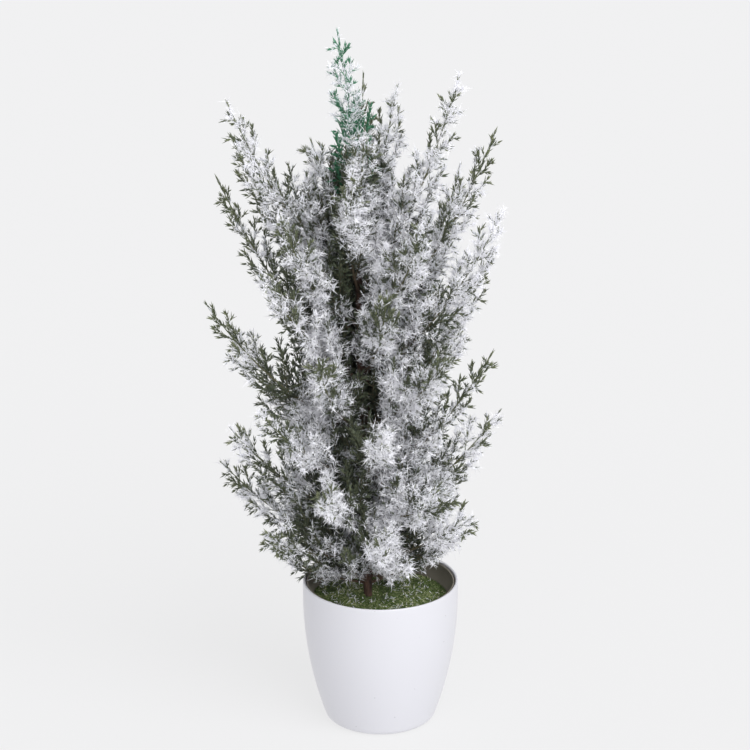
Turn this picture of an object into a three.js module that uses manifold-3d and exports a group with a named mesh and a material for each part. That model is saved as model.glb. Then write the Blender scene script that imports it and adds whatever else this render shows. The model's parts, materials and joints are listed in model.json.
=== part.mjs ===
// A snow-dusted artificial juniper that stands on a table: a moulded tree on a steel core, cast into
// a weighted liner that lifts out of a white cover pot. Millimetres, +Z up, origin at the middle of
// the pot's flat base. The tree leans a little towards -X and the side most dressed faces -Y.
import * as THREE from "three";
import { mergeVertices } from "three/addons/utils/BufferGeometryUtils.js";
import Module from "manifold-3d";

const wasm = await Module();
wasm.setup();

// ---- Driving dimensions ----
const TREE_HEIGHT = 633; // table to the tip of the leader
const CROWN_RADIUS = 130; // trunk to the widest branch tips
const GAP = 0.3; // between pieces that rest on or fit inside each other
const CORE_PLAY = 0.45; // all round the core in its bores, whose sides are flats
const CAST_PLAY = 0.5; // all round the trunk in the ballast and the moss

const POT_HEIGHT = 134;
const POT_RIM_R = 70;
const POT_FOOT_R = 43; // the flat base inside the rounded foot
const POT_FOOT_ROUND = 8;
const POT_SWELL_R = 72; // the side swells towards this radius
const POT_SWELL_AT = 0.5; // at this share of the height
const POT_WALL = 2.2;
const POT_FLOOR = 2.6;

const LINER_WALL = 1.6;
const LINER_DROP = 1.5; // liner rim below the pot rim
const LINER_RIM_PLAY = 0.8; // liner to pot wall at the rim
const LINER_FOOT_R = 39;
const MOSS_DROP = 18; // moss below the pot rim, at the liner wall
const MOSS_THICK = 8;
const MOSS_DOME = 2.5; // how much the mat rises towards the trunk

const CORE_R = 1.9; // steel core
const CORE_FOOT = 14; // core foot above the pot's base
const BARK_FOOT_R = 5.2; // bark sleeve where it enters the ballast
const BARK_TOP_R = 3.3;
const BARK_SUNK = 16; // how deep the bark sleeve goes into the ballast
const TRUNK_OFFSET = -11; // trunk from the pot's middle, where it leaves the moss
const TRUNK_LEAN = 1.6; // degrees, towards -X

const STEM_R = 1.5; // a branch's bare wired stem
const PLUME_R = 2.8; // the same stem where it carries leaves
const STEM_TIP_R = 0.6;
const SPRIG_R = 2.6; // a side sprig at its fullest
const SPRIG_LONG = 34; // the longest side sprig, nearest the trunk
const SPRIG_SHORT = 13; // the shortest, nearest the tip
const SPRIGS = 5; // side sprigs on a branch
const SPRIG_OPEN = 38; // degrees between a sprig and its stem
const SPRIG_LIFTS = [8, 30, 52]; // degrees that sprigs turn up from the sides, in turn

const POT_SIDES = 40;
const CORE_SIDES = 10;
const BARK_SIDES = 12;
const STEM_SIDES = 4;
const STEM_STEPS = 5;
const SPRIG_SIDES = 3;

// ---- The branch plan ----
// Each tier leaves the trunk at the same height. root and the tips' heights are shares of the crown
// from the moss to the leader's tip, and a reach is a share of CROWN_RADIUS. turn is where the first
// branch points, in degrees from +X towards +Y, and the rest follow at even steps.
const TIERS = [
  {
    root: 0.03,
    turn: 8,
    tips: [[0.6, 0.1], [0.7, 0.085], [0.64, 0.1], [0.66, 0.085], [0.46, 0.11], [0.5, 0.1]],
  },
  {
    root: 0.07,
    turn: -22,
    tips: [[0.76, 0.18], [0.86, 0.19], [0.84, 0.2], [1.08, 0.21], [0.86, 0.165], [0.72, 0.165]],
  },
  {
    root: 0.14,
    turn: 10,
    tips: [[0.92, 0.33], [0.88, 0.31], [0.86, 0.33], [0.92, 0.33], [0.92, 0.27], [0.86, 0.25]],
  },
  {
    root: 0.22,
    turn: -20,
    tips: [[0.9, 0.48], [0.9, 0.46], [0.86, 0.47], [1, 0.475], [0.9, 0.4], [0.84, 0.38]],
  },
  {
    root: 0.31,
    turn: 12,
    tips: [[0.88, 0.61], [0.92, 0.6], [0.86, 0.6], [1.06, 0.56], [0.92, 0.52], [0.84, 0.5]],
  },
  {
    root: 0.405,
    turn: -18,
    tips: [[0.98, 0.73], [0.9, 0.74], [0.84, 0.72], [1.02, 0.74], [0.88, 0.65], [0.8, 0.63]],
  },
  {
    root: 0.49,
    turn: 14,
    tips: [[0.93, 0.83], [0.78, 0.82], [0.92, 0.81], [0.8, 0.75], [0.78, 0.74]],
  },
  {
    root: 0.57,
    turn: -3,
    tips: [[0.66, 0.945], [0.6, 0.9], [0.86, 0.89], [0.6, 0.82]],
  },
  {
    root: 0.635,
    turn: 40,
    tips: [[0.34, 0.905], [0.32, 0.82], [0.3, 0.87]],
  },
];
const STAGGER = 4; // a tier's branches take turns at three heights, this far apart

// A branch leaves low and turns up: its curve's middle point, as shares of its reach and rise.
const TURN_OUT = 0.58;
const TURN_UP = 0.34;
const SIDE_SWEEP = 9; // how far that middle point wanders sideways

const radians = THREE.MathUtils.degToRad;
const white = { color: 0xe6e6ee, roughness: 0.42, metalness: 0 };
const finishes = {
  pot: new THREE.MeshStandardMaterial(white),
  liner: new THREE.MeshStandardMaterial({ color: 0x4b4a44, roughness: 0.7, metalness: 0 }),
  ballast: new THREE.MeshStandardMaterial({ color: 0xa9a59c, roughness: 0.95, metalness: 0 }),
  moss: new THREE.MeshStandardMaterial({ color: 0x4c6a2c, roughness: 1, metalness: 0 }),
  steel: new THREE.MeshStandardMaterial({ color: 0x8d8f92, roughness: 0.4, metalness: 1 }),
  bark: new THREE.MeshStandardMaterial({ color: 0x5a3a2e, roughness: 0.85, metalness: 0 }),
  leader: new THREE.MeshStandardMaterial({ color: 0x3f7d52, roughness: 0.75, metalness: 0 }),
  leaves: new THREE.MeshStandardMaterial({ color: 0x59644c, roughness: 0.75, metalness: 0 }),
};

// ---- Solids ----
function solidOf(geometry) {
  const bare = geometry.clone();
  bare.deleteAttribute("normal");
  bare.deleteAttribute("uv");
  const merged = mergeVertices(bare, 1e-4);
  return new wasm.Manifold(
    new wasm.Mesh({
      numProp: 3,
      vertProperties: merged.attributes.position.array,
      triVerts: new Uint32Array(merged.index.array),
    }),
  );
}

function geometryOf(solid) {
  const mesh = solid.getMesh();
  const geometry = new THREE.BufferGeometry();
  geometry.setAttribute("position", new THREE.BufferAttribute(mesh.vertProperties, 3));
  geometry.setIndex(new THREE.BufferAttribute(mesh.triVerts, 1));
  geometry.computeVertexNormals();
  return geometry;
}

// Turns an outline of [radius, height] points about +Z. It starts and ends on the axis.
function turned(outline, sides) {
  const points = outline.map(([r, z]) => new THREE.Vector2(r, z));
  return new THREE.LatheGeometry(points, sides).rotateX(Math.PI / 2);
}

function piece(name, geometry, material) {
  const mesh = new THREE.Mesh(geometry, material);
  mesh.name = name;
  return mesh;
}

// ---- Pot, liner, ballast and moss ----
const LIP_ROUND = POT_WALL / 2;
const FOOT_ENDS = -Math.PI / 10; // where the foot's rounding meets the side, from level

// One face of the pot from its flat bottom to below the lip. inset is 0 outside, the wall inside.
function potOutline(inset, bottom) {
  const r = POT_FOOT_ROUND - inset;
  const middle = new THREE.Vector2(POT_FOOT_R, bottom + r);
  const foot = new THREE.EllipseCurve(middle.x, middle.y, r, r, -Math.PI / 2, FOOT_ENDS);
  const side = new THREE.QuadraticBezierCurve(
    foot.getPoint(1),
    new THREE.Vector2(POT_SWELL_R - inset, POT_HEIGHT * POT_SWELL_AT),
    new THREE.Vector2(POT_RIM_R - inset, POT_HEIGHT - LIP_ROUND),
  );
  return [...foot.getPoints(3), ...side.getPoints(5).slice(1)].map((p) => [p.x, p.y]);
}

function coverPot() {
  const outside = potOutline(0, 0);
  const inside = potOutline(POT_WALL, POT_FLOOR).reverse();
  const lip = [[POT_RIM_R - LIP_ROUND, POT_HEIGHT]];
  const outline = [[0, 0], ...outside, ...lip, ...inside, [0, POT_FLOOR]];
  return piece("cover_pot", turned(outline, POT_SIDES), finishes.pot);
}

const LINER_TOP = POT_HEIGHT - LINER_DROP;
const LINER_BOTTOM = POT_FLOOR + GAP;
const LINER_TOP_R = POT_RIM_R - POT_WALL - LINER_RIM_PLAY;
const MOSS_EDGE = POT_HEIGHT - MOSS_DROP;
const BALLAST_TOP = MOSS_EDGE - MOSS_THICK;

// The liner's outer radius at a height: a plain cone.
function linerRadius(z) {
  return THREE.MathUtils.mapLinear(z, LINER_BOTTOM, LINER_TOP, LINER_FOOT_R, LINER_TOP_R);
}

function liner() {
  const floor = LINER_BOTTOM + LINER_WALL;
  const outline = [
    [0, LINER_BOTTOM],
    [LINER_FOOT_R, LINER_BOTTOM],
    [LINER_TOP_R, LINER_TOP],
    [LINER_TOP_R - LINER_WALL, LINER_TOP],
    [linerRadius(floor) - LINER_WALL, floor],
    [0, floor],
  ];
  return piece("liner_pot", turned(outline, POT_SIDES), finishes.liner);
}

// The trunk's own frame: its origin is where the trunk leaves the moss, and it leans.
const trunkFrame = new THREE.Group();
trunkFrame.position.set(TRUNK_OFFSET, 0, MOSS_EDGE);
trunkFrame.rotation.y = radians(-TRUNK_LEAN);
trunkFrame.updateMatrixWorld(true);

// A straight hole along the trunk, between two heights measured along it.
function trunkHole(radius, from, to) {
  const drill = turned([[0, from], [radius, from], [radius, to], [0, to]], BARK_SIDES);
  return solidOf(drill.applyMatrix4(trunkFrame.matrixWorld));
}

const BARK_BOTTOM = -MOSS_THICK - BARK_SUNK;
const CORE_BOTTOM = CORE_FOOT - MOSS_EDGE;
const BEYOND = 30; // a drill runs this far past a face that it opens

function ballast() {
  const low = LINER_BOTTOM + LINER_WALL + GAP;
  const outline = [
    [0, low],
    [linerRadius(low) - LINER_WALL - GAP, low],
    [linerRadius(BALLAST_TOP) - LINER_WALL - GAP, BALLAST_TOP],
    [0, BALLAST_TOP],
  ];
  const cast = solidOf(turned(outline, POT_SIDES))
    .subtract(trunkHole(BARK_FOOT_R + CAST_PLAY, BARK_BOTTOM - GAP, BEYOND))
    .subtract(trunkHole(CORE_R + CAST_PLAY, CORE_BOTTOM - GAP, 0));
  return piece("ballast", geometryOf(cast), finishes.ballast);
}

function mossMat() {
  const low = BALLAST_TOP + GAP;
  const outline = [
    [0, low],
    [linerRadius(low) - LINER_WALL - GAP, low],
    [linerRadius(MOSS_EDGE) - LINER_WALL - GAP, MOSS_EDGE],
    [linerRadius(MOSS_EDGE) * 0.6, MOSS_EDGE + MOSS_DOME * 0.8],
    [0, MOSS_EDGE + MOSS_DOME],
  ];
  const mat = solidOf(turned(outline, POT_SIDES)).subtract(
    trunkHole(BARK_FOOT_R + CAST_PLAY, -BEYOND, BEYOND),
  );
  return piece("moss_mat", geometryOf(mat), finishes.moss);
}

// ---- Trunk ----
const CROWN_BOTTOM = MOSS_EDGE;
const CROWN_HEIGHT = TREE_HEIGHT - CROWN_BOTTOM;
const LEADER_ROOT = 0.68; // where the leader is plugged on, as a share of the crown
const CORE_PLUG = 12; // core that stands out of the bark, inside the leader's socket
const alongTrunk = (height) => height / Math.cos(radians(TRUNK_LEAN));
const BARK_TOP = alongTrunk(CROWN_HEIGHT * LEADER_ROOT);

function barkRadius(along) {
  return THREE.MathUtils.mapLinear(along, BARK_BOTTOM, BARK_TOP, BARK_FOOT_R, BARK_TOP_R);
}

function trunkCore() {
  const top = BARK_TOP + CORE_PLUG;
  const outline = [[0, CORE_BOTTOM], [CORE_R, CORE_BOTTOM], [CORE_R, top], [0, top]];
  return piece("trunk_core", turned(outline, CORE_SIDES), finishes.steel);
}

function trunkBark() {
  const bore = CORE_R + CORE_PLAY;
  const outline = [
    [bore, BARK_BOTTOM],
    [BARK_FOOT_R, BARK_BOTTOM],
    [BARK_TOP_R, BARK_TOP],
    [bore, BARK_TOP],
    [bore, BARK_BOTTOM],
  ];
  return piece("trunk_bark", turned(outline, BARK_SIDES), finishes.bark);
}

// ---- Branches ----
// A tapered rod along +Z, bent onto a curve that starts at the origin. fatness gives the radius at
// each share of the length.
function bentRod(curve, fatness) {
  const outline = [[0, 0]];
  for (let i = 0; i <= STEM_STEPS; i++) outline.push([fatness(i / STEM_STEPS), i / STEM_STEPS]);
  outline.push([0, 1]);
  const rod = turned(outline, STEM_SIDES);
  const place = rod.getAttribute("position");
  const side = new THREE.Vector3(0, 1, 0);
  for (let i = 0; i < place.count; i++) {
    const share = THREE.MathUtils.clamp(place.getZ(i), 0, 1);
    const along = curve.getTangentAt(share);
    const across = new THREE.Vector3().crossVectors(side, along).normalize();
    const level = new THREE.Vector3().crossVectors(along, across);
    const point = curve.getPointAt(share);
    point.addScaledVector(across, place.getX(i)).addScaledVector(level, place.getY(i));
    place.setXYZ(i, point.x, point.y, point.z);
  }
  return rod;
}

// A side sprig: a slim spindle whose foot is inside its stem. Sprigs take the left and the right
// side by turns.
function sprig(curve, share, length, number) {
  const outline = [[0, 0], [SPRIG_R * 0.45, 0], [SPRIG_R, length * 0.45], [0, length]];
  const spindle = turned(outline, SPRIG_SIDES);
  const along = curve.getTangentAt(share);
  const left = new THREE.Vector3(0, 0, 1).cross(along).normalize();
  const up = new THREE.Vector3().crossVectors(along, left);
  const lift = radians(SPRIG_LIFTS[number % SPRIG_LIFTS.length]);
  const aside = left.multiplyScalar(number % 2 ? -Math.cos(lift) : Math.cos(lift));
  aside.addScaledVector(up, Math.sin(lift));
  const open = radians(SPRIG_OPEN);
  const grow = along.clone().multiplyScalar(Math.cos(open)).addScaledVector(aside, Math.sin(open));
  const turn = new THREE.Quaternion().setFromUnitVectors(new THREE.Vector3(0, 0, 1), grow);
  return spindle.applyQuaternion(turn).translate(...curve.getPointAt(share));
}

// The stem is bare near the trunk, full where it carries leaves, and fine at its tip.
function stemFatness(share) {
  const bare = 0.28;
  const full = 0.42;
  if (share <= bare) return STEM_R;
  if (share <= full) return THREE.MathUtils.mapLinear(share, bare, full, STEM_R, PLUME_R);
  return THREE.MathUtils.mapLinear(share, full, 1, PLUME_R, STEM_TIP_R);
}

// A branch in its own frame: foot at the origin, growing towards +X and up, with its sprigs.
function branchSolid(reach, rise, number) {
  const curve = new THREE.QuadraticBezierCurve3(
    new THREE.Vector3(0, 0, 0),
    new THREE.Vector3(reach * TURN_OUT, SIDE_SWEEP * Math.sin(number * 2.4), rise * TURN_UP),
    new THREE.Vector3(reach, 0, rise),
  );
  let whole = solidOf(bentRod(curve, stemFatness));
  for (let k = 0; k < SPRIGS; k++) {
    const step = k / (SPRIGS - 1);
    const share = THREE.MathUtils.lerp(0.36, 0.9, step);
    const length = THREE.MathUtils.lerp(SPRIG_LONG, SPRIG_SHORT, step);
    whole = whole.add(solidOf(sprig(curve, share, length, k + number)));
  }
  return whole;
}

function branches() {
  const made = [];
  TIERS.forEach((tier, t) => {
    tier.tips.forEach(([reachShare, tipShare], n) => {
      const number = made.length;
      const turn = radians(tier.turn + (360 / tier.tips.length) * n);
      const height = CROWN_HEIGHT * tier.root + STAGGER * (n % 3);
      const along = alongTrunk(height);
      const off = barkRadius(along) + STEM_R + GAP; // its foot, where it bends, just clears the bark
      const foot = new THREE.Vector3(0, 0, along).applyMatrix4(trunkFrame.matrixWorld);
      foot.x += off * Math.cos(turn);
      foot.y += off * Math.sin(turn);
      const reach = CROWN_RADIUS * reachShare - off;
      const rise = CROWN_HEIGHT * tipShare - height;
      const solid = branchSolid(reach, rise, number);
      const mesh = piece(`branch_t${t + 1}_${n + 1}`, geometryOf(solid), finishes.leaves);
      mesh.position.copy(foot);
      mesh.rotation.z = turn;
      made.push(mesh);
    });
  });
  return made;
}

// ---- Leader ----
// The bright top spray, plugged over the end of the core.
const LEADER_DRIFT = 11; // how far its tip bends beyond the trunk's lean
const LEADER_COLLAR_R = 3.4;
const LEADER_SPRIGS = 7;

function leader() {
  const length = alongTrunk(CROWN_HEIGHT * (1 - LEADER_ROOT)) - GAP;
  const curve = new THREE.QuadraticBezierCurve3(
    new THREE.Vector3(0, 0, 0),
    new THREE.Vector3(0, 0, length * 0.5),
    new THREE.Vector3(-LEADER_DRIFT, 0, length),
  );
  const plugShare = (CORE_PLUG + 3) / length;
  const fatness = (share) =>
    share < plugShare
      ? LEADER_COLLAR_R
      : THREE.MathUtils.mapLinear(share, plugShare, 1, PLUME_R, STEM_TIP_R);
  const bore = CORE_R + CORE_PLAY;
  const socket = turned([[0, -1], [bore, -1], [bore, CORE_PLUG], [0, CORE_PLUG]], CORE_SIDES);
  let whole = solidOf(bentRod(curve, fatness));
  for (let k = 0; k < LEADER_SPRIGS; k++) {
    const step = k / (LEADER_SPRIGS - 1);
    const share = THREE.MathUtils.lerp(0.3, 0.92, step);
    const sprigLength = THREE.MathUtils.lerp(SPRIG_LONG * 0.85, SPRIG_SHORT, step);
    whole = whole.add(solidOf(sprig(curve, share, sprigLength, k)));
  }
  const mesh = piece("leader", geometryOf(whole.subtract(solidOf(socket))), finishes.leader);
  mesh.position.z = BARK_TOP + GAP;
  return mesh;
}

// ---- The tree in its pot ----
const root = new THREE.Group();
trunkFrame.add(trunkCore(), trunkBark(), leader());
root.add(coverPot(), liner(), ballast(), mossMat(), trunkFrame, ...branches());
export default root;
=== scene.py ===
import json
import math
import random

import bmesh
import bpy
from mathutils import Matrix, Vector, noise


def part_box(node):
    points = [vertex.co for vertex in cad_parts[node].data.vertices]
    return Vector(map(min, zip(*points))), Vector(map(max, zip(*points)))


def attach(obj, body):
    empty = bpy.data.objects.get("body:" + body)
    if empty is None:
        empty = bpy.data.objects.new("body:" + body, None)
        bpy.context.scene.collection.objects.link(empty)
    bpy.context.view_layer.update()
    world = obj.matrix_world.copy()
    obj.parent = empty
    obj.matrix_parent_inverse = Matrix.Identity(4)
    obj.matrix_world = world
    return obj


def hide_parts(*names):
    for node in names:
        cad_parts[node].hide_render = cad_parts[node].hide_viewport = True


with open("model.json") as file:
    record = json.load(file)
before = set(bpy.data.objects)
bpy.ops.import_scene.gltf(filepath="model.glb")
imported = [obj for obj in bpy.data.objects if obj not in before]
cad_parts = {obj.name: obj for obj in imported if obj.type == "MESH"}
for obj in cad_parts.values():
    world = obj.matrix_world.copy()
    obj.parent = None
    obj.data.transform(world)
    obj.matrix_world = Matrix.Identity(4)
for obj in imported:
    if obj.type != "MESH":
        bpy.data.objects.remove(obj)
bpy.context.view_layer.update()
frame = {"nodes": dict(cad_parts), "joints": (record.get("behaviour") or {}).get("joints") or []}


# ---- Cover pot ----
# A round cover pot, injection moulded in white plastic with a satin skin. Its side swells from a
# rounded foot to a thin rolled lip. The moulding has a faint mottle and a few specks of pigment.
pot_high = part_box("cover_pot")[1]
POT_WALL = 0.0022
POT_FLOOR = 0.0026
POT_FOOT_R = 0.043
POT_FOOT_ROUND = 0.008
POT_SWELL_R = 0.072  # the side swells towards this radius
POT_SWELL_AT = 0.5  # at this share of the height
TURNING_STEPS = 128
pot_top = pot_high.z
rim_r = pot_high.x


def arc(middle, radius, start, end, steps):
    """Points (radius, height) round part of a circle, angles in degrees."""
    turns = [math.radians(start + (end - start) * i / steps) for i in range(steps + 1)]
    return [(middle[0] + radius * math.cos(a), middle[1] + radius * math.sin(a)) for a in turns]


def swell(start, pull, end, steps):
    """Points (radius, height) of a side that bends towards pull, both ends left out."""
    shares = [i / steps for i in range(1, steps)]
    return [
        tuple((1 - t) ** 2 * a + 2 * t * (1 - t) * b + t * t * c for a, b, c in zip(start, pull, end))
        for t in shares
    ]


def new_piece(name, bm, *materials):
    """An object at the origin from a bmesh, which is used up."""
    mesh = bpy.data.meshes.new(name)
    bm.to_mesh(mesh)
    bm.free()
    piece = bpy.data.objects.new(name, mesh)
    for material in materials:
        mesh.materials.append(material)
    bpy.context.scene.collection.objects.link(piece)
    return piece


def turned(outline):
    """An outline of (radius, height) spun about the pot's upright middle line."""
    bm = bmesh.new()
    ring = [bm.verts.new((r, 0, z)) for r, z in outline]
    for a, b in zip(ring, ring[1:]):
        bm.edges.new((a, b))
    bmesh.ops.spin(
        bm,
        geom=bm.verts[:] + bm.edges[:],
        cent=(0, 0, 0),
        axis=(0, 0, 1),
        angle=math.tau,
        steps=TURNING_STEPS,
        use_merge=True,
    )
    bmesh.ops.remove_doubles(bm, verts=bm.verts, dist=1e-6)
    bmesh.ops.recalc_face_normals(bm, faces=bm.faces)
    for face in bm.faces:
        face.smooth = True
    return bm


def add(tree, kind, inputs=None, **settings):
    """A shader node with its settings; a socket among its inputs is linked, anything else is set."""
    made = tree.nodes.new(kind)
    for key, value in settings.items():
        setattr(made, key, value)
    for key, value in (inputs or {}).items():
        if isinstance(value, bpy.types.NodeSocket):
            tree.links.new(value, made.inputs[key])
        else:
            made.inputs[key].default_value = value
    return made


def ramp(tree, value, *stops):
    """A colour ramp over value; each stop is (place, (r, g, b)) or (place, grey)."""
    made = add(tree, "ShaderNodeValToRGB", {"Fac": value})
    elements = made.color_ramp.elements
    while len(elements) < len(stops):
        elements.new(0.5)
    for element, (place, colour) in zip(elements, stops):
        element.position = place
        element.color = (*colour, 1) if isinstance(colour, tuple) else (colour,) * 3 + (1,)
    return made.outputs["Color"]


def new_group(name, inputs, outputs):
    """An empty shader group with named sockets: {name: (socket type, default)} and {name: type}."""
    group = bpy.data.node_groups.new(name, "ShaderNodeTree")
    for key, (kind, default) in inputs.items():
        socket = group.interface.new_socket(key, in_out="INPUT", socket_type="NodeSocket" + kind)
        socket.default_value = default
    for key, kind in outputs.items():
        group.interface.new_socket(key, in_out="OUTPUT", socket_type="NodeSocket" + kind)
    return group, group.nodes.new("NodeGroupInput"), group.nodes.new("NodeGroupOutput")


# The skin of a moulded or cast piece: a soft two-tone mottle, specks, and a fine grain.
skin, skin_in, skin_out = new_group(
    "moulded skin",
    {
        "Tone": ("Color", (0.8, 0.8, 0.8, 1)),
        "Other Tone": ("Color", (0.75, 0.75, 0.75, 1)),
        "Speck": ("Color", (0.4, 0.4, 0.4, 1)),
        "Speck Size": ("Float", 0.1),
        "Speck Spacing": ("Float", 60.0),
        "Mottle Scale": ("Float", 30.0),
        "Grain Scale": ("Float", 900.0),
        "Roughness": ("Float", 0.4),
        "Roughness Spread": ("Float", 0.1),
    },
    {"Color": "Color", "Roughness": "Float", "Height": "Float"},
)
skin_place = add(skin, "ShaderNodeTexCoord").outputs["Object"]
skin_mottle = add(
    skin,
    "ShaderNodeTexNoise",
    {"Vector": skin_place, "Scale": skin_in.outputs["Mottle Scale"], "Detail": 4.0},
).outputs["Fac"]
skin_grain = add(
    skin,
    "ShaderNodeTexNoise",
    {"Vector": skin_place, "Scale": skin_in.outputs["Grain Scale"], "Detail": 2.0},
).outputs["Fac"]
skin_cell = add(
    skin,
    "ShaderNodeTexVoronoi",
    {"Vector": skin_place, "Scale": skin_in.outputs["Speck Spacing"], "Randomness": 1.0},
).outputs["Distance"]
skin_speck = add(
    skin,
    "ShaderNodeMath",
    {0: skin_cell, 1: skin_in.outputs["Speck Size"]},
    operation="LESS_THAN",
).outputs["Value"]
skin_tone = add(
    skin,
    "ShaderNodeMix",
    {"Factor": skin_mottle, 6: skin_in.outputs["Tone"], 7: skin_in.outputs["Other Tone"]},
    data_type="RGBA",
).outputs[2]
skin_specked = add(
    skin,
    "ShaderNodeMix",
    {"Factor": skin_speck, 6: skin_tone, 7: skin_in.outputs["Speck"]},
    data_type="RGBA",
).outputs[2]
skin_worn = add(
    skin,
    "ShaderNodeMath",
    {0: skin_mottle, 1: skin_in.outputs["Roughness Spread"], 2: skin_in.outputs["Roughness"]},
    operation="MULTIPLY_ADD",
).outputs["Value"]
skin.links.new(skin_specked, skin_out.inputs["Color"])
skin.links.new(skin_worn, skin_out.inputs["Roughness"])
skin.links.new(skin_grain, skin_out.inputs["Height"])


def finish(name, group, values, bump, bump_height, **fixed):
    """A material whose colour, roughness and bump come from a group, the rest set on the shader."""
    made = bpy.data.materials.new(name)
    made.use_nodes = True
    tree = made.node_tree
    shader = tree.nodes["Principled BSDF"]
    for key, value in fixed.items():
        shader.inputs[key.replace("_", " ")].default_value = value
    surface = add(tree, "ShaderNodeGroup", node_tree=group)
    for key, value in values.items():
        surface.inputs[key].default_value = value
    grain = add(
        tree,
        "ShaderNodeBump",
        {"Strength": bump, "Distance": bump_height, "Height": surface.outputs["Height"]},
    )
    tree.links.new(surface.outputs["Color"], shader.inputs["Base Color"])
    tree.links.new(surface.outputs["Roughness"], shader.inputs["Roughness"])
    tree.links.new(grain.outputs["Normal"], shader.inputs["Normal"])
    return made


white_plastic = finish(
    "satin white plastic",
    skin,
    {
        "Tone": (0.665, 0.665, 0.705, 1),
        "Other Tone": (0.68, 0.68, 0.725, 1),
        "Speck": (0.5, 0.5, 0.53, 1),
        "Speck Size": 0.045,
        "Speck Spacing": 75.0,
        "Mottle Scale": 22.0,
        "Grain Scale": 1400.0,
        "Roughness": 0.3,
        "Roughness Spread": 0.12,
    },
    0.12,
    0.00005,
    Coat_Weight=0.25,
    Coat_Roughness=0.2,
)
lip_r = POT_WALL / 2
foot_out = arc((POT_FOOT_R, POT_FOOT_ROUND), POT_FOOT_ROUND, -90, -18, 10)
foot_in_r = POT_FOOT_ROUND - POT_WALL
foot_in = arc((POT_FOOT_R, POT_FLOOR + foot_in_r), foot_in_r, -18, -90, 10)
swell_z = pot_top * POT_SWELL_AT
lip_z = pot_top - lip_r
side_out = swell(foot_out[-1], (POT_SWELL_R, swell_z), (rim_r, lip_z), 40)
lip = arc((rim_r - lip_r, lip_z), lip_r, 0, 180, 10)
side_in = swell((rim_r - POT_WALL, lip_z), (POT_SWELL_R - POT_WALL, swell_z), foot_in[0], 40)
pot = new_piece(
    "pot_moulding",
    turned([(0, 0), *foot_out, *side_out, *lip, *side_in, *foot_in, (0, POT_FLOOR)]),
    white_plastic,
)
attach(pot, "pot")
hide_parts("cover_pot")


# ---- Liner pot ----
# A plain cone of thin dark olive-grey plastic that stands inside the cover pot. Its rim is rolled
# out and thickened, and the moulding has shallow rings that stiffen the side.
liner_low, liner_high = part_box("liner_pot")
LINER_WALL = 0.0016
LINER_FOOT_R = 0.039
LINER_FOOT_ROUND = 0.001
LINER_ROLL = 0.0009  # radius of the rolled rim
LINER_RINGS = 7
LINER_RING_DEPTH = 0.0005
LINER_RING_HALF = 0.0012
liner_rim_r = liner_high.x
olive_plastic = finish(
    "olive-grey plastic",
    skin,
    {
        "Tone": (0.22, 0.2, 0.165, 1),
        "Other Tone": (0.17, 0.155, 0.125, 1),
        "Speck": (0.2, 0.2, 0.19, 1),
        "Speck Size": 0.09,
        "Speck Spacing": 260.0,
        "Mottle Scale": 45.0,
        "Grain Scale": 1600.0,
        "Roughness": 0.6,
        "Roughness Spread": 0.2,
    },
    0.3,
    0.0001,
    Specular_IOR_Level=0.3,
)


def liner_radius(z):
    """The liner's outer radius at a height."""
    share = (z - liner_low.z) / (liner_high.z - liner_low.z)
    return LINER_FOOT_R + (liner_rim_r - LINER_FOOT_R) * share


def ringed(inset):
    """The side from foot to rim, with its shallow rings, inset from the outer face."""
    side = []
    for k in range(1, LINER_RINGS + 1):
        z = liner_low.z + (liner_high.z - liner_low.z) * k / (LINER_RINGS + 1)
        for step, depth in ((-1, 0), (-0.5, 1), (0.5, 1), (1, 0)):
            at = z + step * LINER_RING_HALF
            side.append((liner_radius(at) - inset - depth * LINER_RING_DEPTH, at))
    return side


roll_z = liner_high.z - LINER_ROLL
roll = arc((liner_rim_r - LINER_ROLL, roll_z), LINER_ROLL, -60, 200, 12)
liner_foot_middle = (LINER_FOOT_R - LINER_FOOT_ROUND, liner_low.z + LINER_FOOT_ROUND)
liner_floor = liner_low.z + LINER_WALL
liner = new_piece(
    "liner_moulding",
    turned(
        [
            (0, liner_low.z),
            *arc(liner_foot_middle, LINER_FOOT_ROUND, -90, 0, 4),
            *ringed(0),
            *roll,
            *reversed(ringed(LINER_WALL)),
            (LINER_FOOT_R - LINER_WALL, liner_floor),
            (0, liner_floor),
        ]
    ),
    olive_plastic,
)
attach(liner, "planting")
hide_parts("liner_pot")


# ---- Ballast and core ----
# A plug of cement poured into the liner round a drawn steel rod. Both are hidden once the tree is
# planted, and the modelled solids have their true shape, so they only take their finishes here.
cement = finish(
    "cast cement",
    skin,
    {
        "Tone": (0.46, 0.44, 0.4, 1),
        "Other Tone": (0.34, 0.325, 0.29, 1),
        "Speck": (0.2, 0.19, 0.17, 1),
        "Speck Size": 0.2,
        "Speck Spacing": 380.0,
        "Mottle Scale": 70.0,
        "Grain Scale": 1200.0,
        "Roughness": 0.8,
        "Roughness Spread": 0.18,
    },
    0.7,
    0.0004,
)
steel = finish(
    "drawn steel",
    skin,
    {
        "Tone": (0.5, 0.5, 0.52, 1),
        "Other Tone": (0.38, 0.38, 0.4, 1),
        "Speck": (0.25, 0.2, 0.17, 1),
        "Speck Size": 0.08,
        "Speck Spacing": 500.0,
        "Mottle Scale": 120.0,
        "Grain Scale": 2500.0,
        "Roughness": 0.25,
        "Roughness Spread": 0.25,
    },
    0.2,
    0.00005,
    Metallic=1.0,
)
for name, material in (("ballast", cement), ("trunk_core", steel)):
    mesh = frame["nodes"][name].data
    mesh.materials.clear()
    mesh.materials.append(material)


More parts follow.
